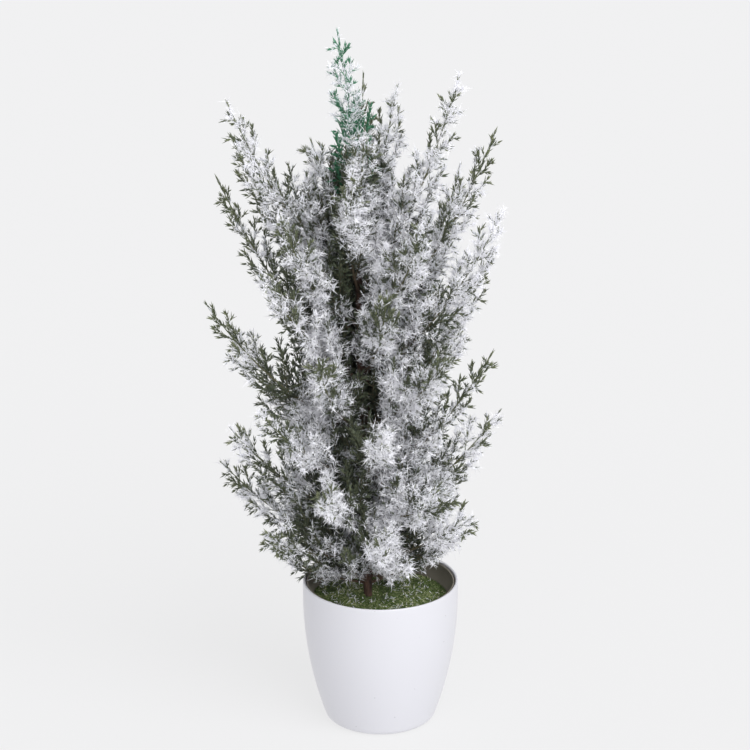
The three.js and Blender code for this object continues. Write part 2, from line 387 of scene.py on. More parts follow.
# ---- Trunk ----
# The bark is a dark red-brown moulded sleeve on the core, with long ridges that wander up it and a
# low knuckle where each branch goes in.
BARK_SIDES = 18
BARK_STEP = 0.006
BARK_RIDGE = 0.00055
KNUCKLE_RISE = 0.0009
KNUCKLE_SPAN = 0.004
bark_low, bark_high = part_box("trunk_bark")
bark_node = frame["nodes"]["trunk_bark"]


def middle_near(node, z):
    """The middle and the radius of the ring of a node's points at a height."""
    ring = [v.co for v in node.data.vertices if abs(v.co.z - z) < 0.0005]
    return sum(ring, Vector()) / len(ring), max((p - ring[0]).length for p in ring) / 2


bark_foot, bark_foot_r = middle_near(bark_node, bark_low.z)
bark_head, bark_head_r = middle_near(bark_node, bark_high.z)
bends = [joint for joint in frame["joints"] if joint["type"] == "hinge"]
branch_roots = [Vector(joint["pos_m"]) for joint in bends]


def bridged(bm, rings):
    """Joins each ring of points to the next one."""
    around = [{edge for vert in ring for edge in vert.link_edges} for ring in rings]
    for low, high in zip(around, around[1:]):
        bmesh.ops.bridge_loops(bm, edges=[*low, *high])
    bmesh.ops.recalc_face_normals(bm, faces=bm.faces)


def tube(bm, places, radii, sides, shape=None):
    """Rings of the given radii bridged along a line of places; shape(point, share) moves them."""
    rings = []
    across = Vector((0, 1, 0))
    for k, (place, radius) in enumerate(zip(places, radii)):
        ahead = places[min(k + 1, len(places) - 1)] - places[max(k - 1, 0)]
        ahead.normalize()
        out = ahead.cross(across).normalized()
        across = out.cross(ahead)
        stand = Matrix((across, out, ahead)).transposed().to_4x4()
        stand.translation = place
        ring = bmesh.ops.create_circle(
            bm, cap_ends=k in (0, len(places) - 1), segments=sides, radius=radius, matrix=stand
        )["verts"]
        if shape:
            for vert in ring:
                vert.co = shape(vert.co.copy(), k / (len(places) - 1))
        rings.append(ring)
    bridged(bm, rings)
    return rings


def barked(point, share):
    """A point of the bark moved out by its ridges and by the knuckles of the nearest branches."""
    centre = bark_foot.lerp(bark_head, share)
    out = (point - centre).normalized()
    grain = noise.noise(Vector((out.x * 4, out.y * 4, point.z * 22)))
    reaches = [(point - root).length / KNUCKLE_SPAN for root in branch_roots]
    knuckle = sum(math.exp(-(reach**2)) for reach in reaches)
    return point + out * (BARK_RIDGE * grain + KNUCKLE_RISE * min(knuckle, 1))


bark_steps = round((bark_head - bark_foot).length / BARK_STEP)
bark_places = [bark_foot.lerp(bark_head, k / bark_steps) for k in range(bark_steps + 1)]
bark_radii = [
    bark_foot_r + (bark_head_r - bark_foot_r) * k / bark_steps for k in range(bark_steps + 1)
]
bark_bm = bmesh.new()
tube(bark_bm, bark_places, bark_radii, BARK_SIDES, barked)
for face in bark_bm.faces:
    face.smooth = True

# Bark colour: long streaks of brown, paler on the ridges.
bark_grain, bark_in, bark_out = new_group(
    "bark grain",
    {
        "Furrow": ("Color", (0.03, 0.018, 0.014, 1)),
        "Ridge": ("Color", (0.14, 0.075, 0.055, 1)),
        "Bleached": ("Color", (0.24, 0.18, 0.15, 1)),
        "Scale": ("Float", 320.0),
        "Stretch": ("Float", 0.18),
    },
    {"Color": "Color", "Roughness": "Float", "Height": "Float"},
)
bark_place = add(bark_grain, "ShaderNodeTexCoord").outputs["Object"]
bark_squeeze = add(
    bark_grain,
    "ShaderNodeCombineXYZ",
    {"X": 1.0, "Y": 1.0, "Z": bark_in.outputs["Stretch"]},
).outputs["Vector"]
bark_long = add(
    bark_grain,
    "ShaderNodeVectorMath",
    {0: bark_place, 1: bark_squeeze},
    operation="MULTIPLY",
).outputs["Vector"]
bark_streak = add(
    bark_grain,
    "ShaderNodeTexNoise",
    {"Vector": bark_long, "Scale": bark_in.outputs["Scale"], "Detail": 6.0, "Roughness": 0.65},
).outputs["Fac"]
bark_sharp = ramp(bark_grain, bark_streak, (0.36, 0.0), (0.62, 1.0))
bark_mixed = add(
    bark_grain,
    "ShaderNodeMix",
    {"Factor": bark_sharp, 6: bark_in.outputs["Furrow"], 7: bark_in.outputs["Ridge"]},
    data_type="RGBA",
).outputs[2]
bark_pale = ramp(bark_grain, bark_streak, (0.62, 0.0), (0.74, 0.7))
bark_colour = add(
    bark_grain,
    "ShaderNodeMix",
    {"Factor": bark_pale, 6: bark_mixed, 7: bark_in.outputs["Bleached"]},
    data_type="RGBA",
).outputs[2]
bark_rough = ramp(bark_grain, bark_streak, (0.2, 0.95), (0.8, 0.7))
bark_grain.links.new(bark_colour, bark_out.inputs["Color"])
bark_grain.links.new(bark_rough, bark_out.inputs["Roughness"])
bark_grain.links.new(bark_streak, bark_out.inputs["Height"])
bark = new_piece(
    "bark_sleeve",
    bark_bm,
    finish("red-brown bark", bark_grain, {}, 0.8, 0.0006),
)
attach(bark, "planting")
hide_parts("trunk_bark")


# ---- Leaves and stems, for every branch ----
# Each branch is a wired stem with side sprigs all round it, and every sprig has short shoots and
# pairs of small lance-shaped leaves, moulded together in olive plastic. The colour of a leaf or a
# stem comes from its own map: across the map lie the tones, up it the way from root to tip.
MAP = "OFBake"
LEAF_TONES = 14
DUSTED_TONES = 10
STEM_TONES = 6
CLEAN_ZONE = (0.02, 0.48)
DUSTED_ZONE = (0.54, 0.82)
STEM_ZONE = (0.88, 0.98)
TONE_HALF = 0.008  # half the width on the map that one shape takes


def unit_shape(rings, sides, lean):
    """A small closed shape of length 1 along +Z. rings are (height, radius); lean bows it in +Y."""
    bm = bmesh.new()
    for (low, low_r), (high, high_r) in zip(rings, rings[1:]):
        bmesh.ops.create_cone(
            bm,
            cap_ends=False,
            segments=sides,
            radius1=low_r,
            radius2=high_r,
            depth=high - low,
            matrix=Matrix.Translation((0, 0, (low + high) / 2)),
        )
    bmesh.ops.remove_doubles(bm, verts=bm.verts, dist=1e-4)
    bmesh.ops.holes_fill(bm, edges=bm.edges, sides=sides)
    bmesh.ops.recalc_face_normals(bm, faces=bm.faces)
    for vert in bm.verts:
        vert.co.y += lean * math.sin(math.pi * vert.co.z)
    return bm


def toned(name, rings, sides, tones, zone, lean=0.0):
    """The same small shape once for each tone, each with its own place across the map."""
    made = []
    for k in range(tones):
        tone = zone[0] + (zone[1] - zone[0]) * k / max(tones - 1, 1)
        bm = unit_shape(rings, sides, lean)
        layer = bm.loops.layers.uv.new(MAP)
        for face in bm.faces:
            for loop in face.loops:
                aside = loop.vert.co.x + 0.3 * loop.vert.co.y
                up = 0.02 + 0.96 * loop.vert.co.z
                loop[layer].uv = (tone + TONE_HALF * 2 * aside, up)
        mesh = bpy.data.meshes.new(f"{name} {k}")
        bm.to_mesh(mesh)
        bm.free()
        at_rest = [0.0] * (3 * len(mesh.vertices))
        mesh.vertices.foreach_get("co", at_rest)
        made.append((mesh, at_rest))
    return made


LEAF_RINGS = [(0, 0), (0.36, 0.5), (1, 0)]
ROD_RINGS = [(0, 0.5), (1, 0.34)]
clean_leaves = toned("leaf", LEAF_RINGS, 3, LEAF_TONES, CLEAN_ZONE, 0.06)
dusted_leaves = toned("dusted leaf", LEAF_RINGS, 3, DUSTED_TONES, DUSTED_ZONE, 0.06)
rods = toned("shoot stem", ROD_RINGS, 3, STEM_TONES, STEM_ZONE)


def stamp(bm, shape, root, along, across, length, width, depth):
    """Adds a copy of a unit shape, its length along one way and its width across."""
    along = along.normalized()
    out = along.cross(across).normalized()
    across = out.cross(along)
    stand = Matrix((across * width, out * depth, along * length)).transposed().to_4x4()
    stand.translation = root
    mesh, at_rest = shape
    mesh.vertices.foreach_set("co", at_rest)
    mesh.transform(stand)
    bm.from_mesh(mesh)


def side_way(along, turn):
    """A level-ish direction square to along, turned about it; 0 is up, a quarter turn a side."""
    side = Vector((0, 0, 1)).cross(along)
    if side.length < 0.05:
        side = Vector((1, 0, 0)).cross(along)
    side.normalize()
    up = along.cross(side)
    return up * math.cos(turn) + side * math.sin(turn)


LEAF_LENGTH = 0.0062
LEAF_WIDTH = 0.0021
LEAF_THICK = 0.001
LEAF_SPACING = 0.0027
LEAF_OPEN = math.radians(25)
LOOSE_LEAF_SPACING = 0.005  # of the single leaves on a branch's own stem
SPIKE_OPEN = math.radians(9)
SPIKE_LENGTH = 0.014  # a branch ends in a spike with close-set leaves and no sprigs
SPIKE_LEAF_SPACING = 0.0024
PLUME_R = 0.024  # snow clings to the middle of a plume and thins out over this distance
SHOOT_SPACING = 0.0046
SHOOT_OPEN = math.radians(38)
SHOOT_LENGTH = 0.0115
SHOOT_WIDTH = 0.0007
SHOOT_LEAF_SPACING = 0.003
SPRIG_WIDTH_LOW = 0.0011  # the sprig's own stem, below and above its knee
SPRIG_WIDTH_HIGH = 0.0008
SPRIG_SPACING = 0.0066
SPRIG_OPEN = math.radians(34)
SPRIG_LONG = 0.057
SPRIG_SHORT = 0.006
INNER_SPRIGS = 8  # sprigs that rise to both sides near the trunk and hide it
INNER_LENGTH = 0.058
INNER_OPEN = math.radians(50)
INNER_LIFT = 1.1
INNER_SPACING = 0.04  # as a share of the branch
GOLDEN = math.radians(137.5)
DRIFT_START = 121.16  # which of the many patterns of tall drifts the snow follows
DRIFT_SCALES = (32, 18, 9)  # of the pattern along x, y and z; it is small for z, so drifts are tall
DRIFT_DEPTH = 0.55  # and as much again at mid height
DRIFT_MIDDLE = 0.34
DRIFT_REACH = 0.14
CLUMP_SCALE = 80
CLUMP_DEPTH = 0.75
BARE_TRUNK = 0.6  # less snow beside and behind the trunk, within this radius of it; the dark bare leaves left there are painted shade inside the crown
BARE_R = 0.07
BARE_FRONT = 0.035  # it starts this far in front of the trunk, and comes in over this depth
BARE_FRONT_FADE = 0.03
BARE_TOP = 0.48  # and it lies between these heights
BARE_TOP_FADE = 0.1
BARE_BOTTOM = 0.22
BARE_BOTTOM_FADE = 0.06
TIP_SHARE = 0.7  # from here outwards on a branch the snow gets thinner
TIP_THIN = 1.4
PATCHY = 1.6  # how sharply snowed places stand out from bare ones
PLUME_THIN = 0.17  # less snow on the outside of a plume
PLUME_THICK = 0.4  # and more at its middle
DUSTED_MOST = 0.75  # the share of leaves that are dusted under full snow
TONE_CHANCE = 0.3  # how far a dusted tone is a matter of chance, and how far of the snow
TONE_SNOW = 0.7
LEAF_TONE = 0.15  # green leaves are darker near the trunk and inside a plume, which is painted shade, and paler at the tips
LEAF_TONE_PALER = 0.6
LEAF_TONE_PAINTED_SHADE = 0.12
LEAF_TONE_STRAY = (-0.22, 0.24)
SPIKE_LEAF_NARROW = 0.7


def snow_at(place, share, cover):
    """How thickly snow lies at a place, from 0 to 1; thin at branch tips and close to the trunk."""
    across, deep, up = DRIFT_SCALES
    tall = Vector((place.x * across + DRIFT_START, place.y * deep, place.z * up))
    middle = max(0.0, 1 - abs(place.z - DRIFT_MIDDLE) / DRIFT_REACH)
    drift = (DRIFT_DEPTH + DRIFT_DEPTH * middle) * noise.noise(tall)
    drift += CLUMP_DEPTH * noise.noise(place * CLUMP_SCALE)
    from_trunk = (place.xy - bark_foot.xy).length
    behind = max(0.0, min(1.0, (place.y - bark_foot.y + BARE_FRONT) / BARE_FRONT_FADE))
    below_top = (BARE_TOP - place.z) / BARE_TOP_FADE
    above_bottom = (place.z - BARE_BOTTOM) / BARE_BOTTOM_FADE
    waist = max(0.0, min(1.0, below_top, above_bottom))
    # Less snow, and so darker bare leaves, beside and behind the trunk at mid height: painted shade
    # inside the crown.
    inside = max(0.0, 1 - from_trunk / BARE_R) * behind * waist
    lies = cover + drift - BARE_TRUNK * inside - TIP_THIN * max(0.0, share - TIP_SHARE)
    return max(0.0, min(1.0, 0.5 + PATCHY * (lies - 0.5)))


class Spray:
    """What grows on one branch: the mesh of its leaves and stems, and where snow can catch."""

    def __init__(self, seed, cover, lift):
        self.bm = bmesh.new()
        self.bm.loops.layers.uv.new(MAP)
        self.catches = []
        self.rng = random.Random(seed)
        self.cover = cover
        self.lift = lift
        self.heart = Vector()

    def leaf(self, root, along, away, share, open_by=LEAF_OPEN):
        """One leaf; share is how far out on the branch it is, from 0 to 1."""
        rng = self.rng
        open_by *= rng.uniform(0.6, 1.35)
        way = along * math.cos(open_by) + away * math.sin(open_by)
        length = LEAF_LENGTH * rng.uniform(0.75, 1.2)
        buried = max(0.0, 1 - (root - self.heart).length / PLUME_R)
        snow = min(1.0, snow_at(root, share, self.cover - PLUME_THIN + PLUME_THICK * buried))
        if rng.random() < snow * DUSTED_MOST:
            tone = TONE_CHANCE * rng.random() + TONE_SNOW * snow
            shape = dusted_leaves[min(int(DUSTED_TONES * tone), DUSTED_TONES - 1)]
        else:
            # Clean leaves: paler out along the branch, and darker near the trunk and deep in a plume
            # as painted shade.
            tone = LEAF_TONE + LEAF_TONE_PALER * share - LEAF_TONE_PAINTED_SHADE * buried
            tone += rng.uniform(*LEAF_TONE_STRAY)
            shape = clean_leaves[max(0, min(int(LEAF_TONES * tone), LEAF_TONES - 1))]
        width = LEAF_WIDTH * (1 if open_by > SPIKE_OPEN * 1.4 else SPIKE_LEAF_NARROW)
        stamp(self.bm, shape, root, way, away.cross(along), length, width, LEAF_THICK)
        if snow > 0.35:
            self.catches.append((root + way * length * 0.6, way, snow))

    def stem(self, start, end, width, share):
        """A thin straight stem between two places."""
        tone = max(0, min(int(STEM_TONES * (0.25 + 0.75 * share)), STEM_TONES - 1))
        way = end - start
        stamp(self.bm, rods[tone], start, way, side_way(way.normalized(), 0), way.length, width, width)

    def pairs(self, start, end, share, spacing=LEAF_SPACING, open_by=LEAF_OPEN):
        """Pairs of leaves along a straight stem, each pair a quarter turn on, and one at its tip."""
        way = end - start
        along = way.normalized()
        count = max(2, round(way.length / spacing))
        first = self.rng.uniform(0, math.pi)
        for k in range(count):
            at = start + way * ((k + 0.6) / count)
            turn = first + k * math.pi / 2 + self.rng.uniform(-0.3, 0.3)
            self.leaf(at, along, side_way(along, turn), share, open_by)
            self.leaf(at, along, side_way(along, turn + math.pi), share, open_by)
        self.leaf(end - along * 0.001, along, side_way(along, first), share, SPIKE_OPEN)

    def shoot(self, root, along, away, length, share):
        """A short side shoot with two or three pairs of leaves."""
        open_by = SHOOT_OPEN * self.rng.uniform(0.75, 1.25)
        way = along * math.cos(open_by) + away * math.sin(open_by)
        end = root + way * length
        self.stem(root, end, SHOOT_WIDTH, share)
        self.pairs(root + way * length * 0.12, end, share, SHOOT_LEAF_SPACING)

    def sprig(self, root, along, away, length, share, open_by=SPRIG_OPEN, lift=0.0):
        """A side sprig that turns up a little, with leaves, and shoots by turns on its sides."""
        rng = self.rng
        self.heart = root
        open_by *= rng.uniform(0.8, 1.2)
        rise = Vector((0, 0, lift + self.lift * (1 - 0.8 * share)))
        way = (along * math.cos(open_by) + away * math.sin(open_by) + rise).normalized()
        knee = root + way * length * 0.5
        upright = Vector((0, 0, 1.1 - 0.9 * share))
        end = knee + (way + along * 0.35 + upright).normalized() * length * 0.5
        self.stem(root, knee, SPRIG_WIDTH_LOW, share)
        self.stem(knee, end, SPRIG_WIDTH_HIGH, share)
        self.pairs(root.lerp(knee, 0.25), knee, share)
        self.pairs(knee, end, share + 0.15)
        shoots = round(length * 0.8 / SHOOT_SPACING)
        first = rng.uniform(0, math.pi)
        for k in range(shoots):
            at = 0.16 + 0.7 * k / max(shoots - 1, 1)
            place = root.lerp(knee, at * 2) if at < 0.5 else knee.lerp(end, at * 2 - 1)
            turn = first + math.pi * k + rng.uniform(-0.6, 0.6)
            size = SHOOT_LENGTH * (1.1 - 0.5 * at - 0.3 * share) * rng.uniform(0.75, 1.15)
            self.shoot(place, way, side_way(way, turn), size, share + 0.2 * at)

    def grow(self, curve, first_share, scale=1.0):
        """Sprigs all round a stem whose line is curve(share), from first_share to its tip."""
        rng = self.rng
        steps = 24
        length = sum((curve(k / steps) - curve((k + 1) / steps)).length for k in range(steps))
        last_share = 1 - SPIKE_LENGTH / length

        def along_at(share):
            return (curve(min(share + 0.03, 1)) - curve(share - 0.03)).normalized()

        count = round(length * (1 - first_share) / SPRIG_SPACING)
        turn = rng.uniform(0, math.tau)
        for k in range(count):
            share = first_share + (last_share - first_share) * (k / max(count - 1, 1)) ** 1.3
            turn += GOLDEN + rng.uniform(-0.35, 0.35)
            taper = (1 - share) ** 0.7 * min(1, (1 - share) / 0.22)
            size = SPRIG_SHORT + (SPRIG_LONG - SPRIG_SHORT) * taper
            size *= scale * rng.uniform(0.75, 1.15)
            along = along_at(share)
            self.sprig(curve(share), along, side_way(along, turn), size, share)
        for k in range(INNER_SPRIGS):
            share = first_share + INNER_SPACING * k
            along = along_at(share)
            turn = math.pi * (k + 0.5) * (k % 3 > 0) + rng.uniform(-0.4, 0.4)
            size = INNER_LENGTH * scale * rng.uniform(0.85, 1.1)
            away = side_way(along, turn)
            self.sprig(curve(share), along, away, size, share, INNER_OPEN, INNER_LIFT)
        for k in range(round(length * (1 - first_share) / LOOSE_LEAF_SPACING)):
            share = first_share + (last_share - first_share) * rng.random()
            self.heart = curve(share)
            along = along_at(share)
            self.leaf(curve(share), along, side_way(along, rng.uniform(0, math.tau)), share)
        self.heart = curve(last_share)
        self.pairs(self.heart, curve(1), 0.9, SPIKE_LEAF_SPACING, SPIKE_OPEN)


# Leaf colour: the map's tone across, paler towards the tip, a mottle, and a crust of snow on the
# dusted ones. The stems are brown where they leave the trunk and green further out.
leaf_skin, leaf_in, leaf_out = new_group(
    "leaf skin",
    {
        # The darkest tone is a nearly black green: painted shade for leaves near the trunk and inside
        # plumes, and a chance dark tone for some others.
        "Deep Tone And Painted Shade": ("Color", (0.024, 0.032, 0.023, 1)),
        "Grown": ("Color", (0.09, 0.11, 0.066, 1)),
        "Young": ("Color", (0.21, 0.23, 0.125, 1)),
        "Frosted": ("Color", (0.58, 0.61, 0.64, 1)),
        "Snow": ("Color", (0.93, 0.93, 0.98, 1)),
        "Stem Foot": ("Color", (0.12, 0.07, 0.05, 1)),
        "Stem Tip": ("Color", (0.13, 0.16, 0.08, 1)),
    },
    {"Color": "Color", "Roughness": "Float", "Height": "Float"},
)
leaf_place = add(leaf_skin, "ShaderNodeUVMap", uv_map=MAP).outputs["UV"]
leaf_way = add(leaf_skin, "ShaderNodeSeparateXYZ", {"Vector": leaf_place}).outputs


def between(tree, value, low, high):
    """0 up to low, 1 from high, and straight between."""
    return add(
        tree,
        "ShaderNodeMapRange",
        {"Value": value, "From Min": low, "From Max": high, "To Min": 0.0, "To Max": 1.0},
    ).outputs["Result"]


def mixed(tree, factor, one, other):
    """One colour going over to another."""
    return add(
        tree, "ShaderNodeMix", {"Factor": factor, 6: one, 7: other}, data_type="RGBA"
    ).outputs[2]


leaf_middle = sum(CLEAN_ZONE) / 2
leaf_deep_and_shaded = mixed(
    leaf_skin,
    between(leaf_skin, leaf_way["X"], CLEAN_ZONE[0], leaf_middle),
    leaf_in.outputs["Deep Tone And Painted Shade"],
    leaf_in.outputs["Grown"],
)
leaf_green = mixed(
    leaf_skin,
    between(leaf_skin, leaf_way["X"], leaf_middle, CLEAN_ZONE[1]),
    leaf_deep_and_shaded,
    leaf_in.outputs["Young"],
)
leaf_stretch = add(
    leaf_skin,
    "ShaderNodeVectorMath",
    {0: leaf_place, 1: (60.0, 5.0, 1.0)},
    operation="MULTIPLY",
).outputs["Vector"]
leaf_mottle = add(
    leaf_skin,
    "ShaderNodeTexNoise",
    {"Vector": leaf_stretch, "Scale": 1.0, "Detail": 3.0},
).outputs["Fac"]
leaf_crust = add(
    leaf_skin,
    "ShaderNodeMath",
    {
        0: between(leaf_skin, leaf_way["X"], DUSTED_ZONE[0] - 0.08, DUSTED_ZONE[1]),
        1: leaf_mottle,
    },
    operation="ADD",
).outputs["Value"]
leaf_snowed = mixed(
    leaf_skin,
    between(leaf_skin, leaf_crust, 0.9, 1.15),
    mixed(
        leaf_skin,
        between(leaf_skin, leaf_crust, 0.6, 0.85),
        leaf_in.outputs["Grown"],
        leaf_in.outputs["Frosted"],
    ),
    leaf_in.outputs["Snow"],
)
leaf_is_dusted = between(leaf_skin, leaf_way["X"], CLEAN_ZONE[1] + 0.025, CLEAN_ZONE[1] + 0.03)
leaf_any = mixed(leaf_skin, leaf_is_dusted, leaf_green, leaf_snowed)
stem_colour = mixed(
    leaf_skin,
    between(leaf_skin, leaf_way["X"], STEM_ZONE[0], STEM_ZONE[1]),
    leaf_in.outputs["Stem Foot"],
    leaf_in.outputs["Stem Tip"],
)
leaf_is_stem = between(leaf_skin, leaf_way["X"], DUSTED_ZONE[1] + 0.025, DUSTED_ZONE[1] + 0.03)
leaf_or_stem = mixed(leaf_skin, leaf_is_stem, leaf_any, stem_colour)
leaf_shade = ramp(leaf_skin, leaf_way["Y"], (0.0, 0.72), (0.45, 1.0), (1.0, 1.12))
leaf_mottled = ramp(leaf_skin, leaf_mottle, (0.3, 0.82), (0.7, 1.12))
leaf_tinted = add(
    leaf_skin,
    "ShaderNodeMix",
    {"Factor": 1.0, 6: leaf_or_stem, 7: leaf_shade},
    data_type="RGBA",
    blend_type="MULTIPLY",
).outputs[2]
leaf_colour = add(
    leaf_skin,
    "ShaderNodeMix",
    {"Factor": 1.0, 6: leaf_tinted, 7: leaf_mottled},
    data_type="RGBA",
    blend_type="MULTIPLY",
).outputs[2]
leaf_rough = ramp(leaf_skin, leaf_is_dusted, (0.0, 0.52), (1.0, 0.88))
leaf_skin.links.new(leaf_colour, leaf_out.inputs["Color"])
leaf_skin.links.new(leaf_rough, leaf_out.inputs["Roughness"])
leaf_skin.links.new(leaf_mottle, leaf_out.inputs["Height"])
olive_leaf = finish("olive leaf", leaf_skin, {}, 0.3, 0.0002)


# ---- Snow on every branch ----
# White flock, a short fluffy nap with longer fibres that cross over the leaves, glued on in
# drifts. It is a lavender white that is greyer where the fibres are thin.
FIBRE_TONES = 8
FIBRE_ZONE = (0.06, 0.94)
FIBRE_RINGS = [(0, 0), (0.5, 0.5), (1, 0)]
FIBRE_LONG = 0.013
FIBRE_SHORT = 0.0052
FIBRE_WIDTH = 0.00047
FIBRE_STOUT = 1.5  # a short fibre is this much wider than a long one
FIBRES_LEAST = 0.3  # how many a leaf catches where there is hardly any snow
FIBRES_MORE = 2.8  # and how many more under full snow
FIBRES_LONG = 0.5  # the share of long ones
FIBRE_STRAY = 0.0009  # how far they lie from where the leaf catches them
fibres = toned("flock fibre", FIBRE_RINGS, 3, FIBRE_TONES, FIBRE_ZONE, 0.16)

flock_fluff, flock_in, flock_out = new_group(
    "flock fluff",
    {
        "Thin": ("Color", (0.8, 0.81, 0.88, 1)),
        "Thick": ("Color", (0.96, 0.96, 0.99, 1)),
    },
    {"Color": "Color", "Roughness": "Float", "Height": "Float"},
)
flock_place = add(flock_fluff, "ShaderNodeUVMap", uv_map=MAP).outputs["UV"]
flock_way = add(flock_fluff, "ShaderNodeSeparateXYZ", {"Vector": flock_place}).outputs
flock_nap = add(
    flock_fluff,
    "ShaderNodeTexNoise",
    {"Vector": flock_place, "Scale": 40.0, "Detail": 2.0},
).outputs["Fac"]
flock_tone = add(
    flock_fluff,
    "ShaderNodeMath",
    {0: flock_way["X"], 1: flock_nap},
    operation="ADD",
).outputs["Value"]
flock_colour = mixed(
    flock_fluff,
    between(flock_fluff, flock_tone, 0.4, 1.35),
    flock_in.outputs["Thin"],
    flock_in.outputs["Thick"],
)
flock_rough = ramp(flock_fluff, flock_nap, (0.3, 0.85), (0.7, 0.98))
flock_fluff.links.new(flock_colour, flock_out.inputs["Color"])
flock_fluff.links.new(flock_rough, flock_out.inputs["Roughness"])
flock_fluff.links.new(flock_nap, flock_out.inputs["Height"])
white_flock = finish("white flock", flock_fluff, {}, 0.2, 0.0001, Sheen_Weight=0.25)


def flocked(catches, seed, size=1.0):
    """Fibres over the leaves that catch snow: short ones that lie close, and longer crossing ones."""
    bm = bmesh.new()
    rng = random.Random(seed)
    for place, along, snow in catches:
        hopes = FIBRES_LEAST + FIBRES_MORE * snow
        for _ in range(int(hopes) + (rng.random() < hopes % 1)):
            stray = Vector((rng.gauss(0, 1), rng.gauss(0, 1), rng.gauss(0, 1)))
            way = (along * 0.5 + stray).normalized()
            is_long = rng.random() < FIBRES_LONG
            length = size * (FIBRE_LONG if is_long else FIBRE_SHORT) * rng.uniform(0.7, 1.3)
            width = FIBRE_WIDTH * rng.uniform(0.8, 1.5) * (1 if is_long else FIBRE_STOUT)
            tone = TONE_CHANCE * rng.random() + TONE_SNOW * snow
            shape = fibres[min(int(FIBRE_TONES * tone), FIBRE_TONES - 1)]
            start = place + stray * FIBRE_STRAY - way * length * 0.5
            stamp(bm, shape, start, way, side_way(way, rng.uniform(0, math.tau)), length, width, width)
    return bm


# ---- Side branches ----
# The branches leave the trunk low and turn up. Their stems are wired, so each bends by hand where
# it goes into the bark, and each carries its own spray and its own snow.
TURN_OUT = 0.58  # the stem's curve: its middle point, as shares of its reach and rise
TURN_UP = 0.34
SIDE_SWEEP = 0.009  # how far that middle point wanders sideways
STEM_FOOT_R = 0.00135
STEM_TIP_R = 0.00035
STEM_STEPS = 14
STEM_SIDES = 6
STEM_SUNK = 0.004  # how far the stem goes on into the bark
LOW_SCALES = {"t1": 0.64, "t2": 1.05}  # the lowest two tiers have shorter sprigs
LIFT_ALL = 0.1  # how strongly sprigs rise towards upright
LIFT_FRONT = 0.7  # and how much more on the branches that come forward or go back
LIFT_LOWEST = 0.35  # and on the lowest tier, whose sprigs clear the pot's lip
FIRST_SPRIG = 0.07  # where on its branch the first sprig stands
SNOW_SEED = 1000
COVER = 0.54  # how snowed a branch in the middle is
COVER_FRONT = 0.1
COVER_RIGHT = 0.06
COVER_TOP_ASIDE = 0.3
COVER_TOP = -0.1
TREE_HALF_DEPTH = 0.12
TREE_MIDDLE_X = -0.02
TREE_HALF_WIDTH = 0.13
TOP_START = 0.5  # the height from which the top counts as the top
TOP_FADE = 0.1
TOP_MIDDLE_X = -0.055
TOP_HALF_WIDTH = 0.075


def stem_line(root, tip, out, sweep):
    """The curve of a branch's stem as a function of the share from root to tip."""
    reach = (tip - root).dot(out)
    rise = tip.z - root.z
    side = Vector((-out.y, out.x, 0))
    pull = root + out * reach * TURN_OUT + side * sweep + Vector((0, 0, rise * TURN_UP))

    def at(share):
        return root * (1 - share) ** 2 + pull * 2 * share * (1 - share) + tip * share**2

    return at


def stem_mesh(bm, curve, foot_r, tip_r, sunk):
    """The bare wired stem as a tapered tube, with its places on the leaf map."""
    places = [curve(k / STEM_STEPS) for k in range(STEM_STEPS + 1)]
    start = places[0] - (places[1] - places[0]).normalized() * sunk
    radii = [foot_r + (tip_r - foot_r) * max(0, k) / STEM_STEPS for k in range(-1, STEM_STEPS + 1)]
    rings = tube(bm, [start, *places], radii, STEM_SIDES)
    layer = bm.loops.layers.uv.verify()
    spots = {vert: (k, j) for k, ring in enumerate(rings) for j, vert in enumerate(ring)}
    for face in bm.faces:
        face.smooth = True
        for loop in face.loops:
            k, j = spots[loop.vert]
            share = k / (len(rings) - 1)
            across = j / (STEM_SIDES - 1) - 0.5
            up = 0.25 + 0.5 * share
            if len(face.verts) == STEM_SIDES:
                across = 0.5 * math.cos(math.tau * j / STEM_SIDES)
                up += 0.01 * math.sin(math.tau * j / STEM_SIDES)
            tone = STEM_ZONE[0] + (STEM_ZONE[1] - STEM_ZONE[0]) * share
            loop[layer].uv = (tone + TONE_HALF * across, up)


def snow_cover(tip):
    """How snowed a branch is: more in front and on the right, and at the top more on both sides."""
    front = -tip.y / TREE_HALF_DEPTH
    right = (tip.x - TREE_MIDDLE_X) / TREE_HALF_WIDTH
    high = max(0.0, min(1.0, (tip.z - TOP_START) / TOP_FADE))
    aside = min(1.0, abs(tip.x - TOP_MIDDLE_X) / TOP_HALF_WIDTH)
    below = (COVER_FRONT * front + COVER_RIGHT * right) * (1 - high)
    return COVER + below + (COVER_TOP_ASIDE * aside + COVER_TOP) * high


for number, joint in enumerate(bends):
    name = joint["child"]
    root = Vector(joint["pos_m"])
    out = Vector((-joint["axis"][1], joint["axis"][0], 0)).normalized()
    tip = max((v.co for v in frame["nodes"][name].data.vertices), key=lambda p: (p - root).length)
    curve = stem_line(root, tip.copy(), out, SIDE_SWEEP * math.sin(number * 2.4))
    tier = name.split("_")[1]
    lift = LIFT_ALL + LIFT_FRONT * out.y**2 + LIFT_LOWEST * (tier == "t1")
    spray = Spray(number, snow_cover(tip), lift)
    stem_mesh(spray.bm, curve, STEM_FOOT_R, STEM_TIP_R, STEM_SUNK)
    spray.grow(curve, FIRST_SPRIG, LOW_SCALES.get(tier, 1.0))
    foliage = new_piece(name.replace("branch", "foliage"), spray.bm, olive_leaf)
    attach(foliage, name)
    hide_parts(name)
    snow_bm = flocked(spray.catches, SNOW_SEED + number)
    snow = new_piece(name.replace("branch", "snow"), snow_bm, white_flock)
    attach(snow, name)


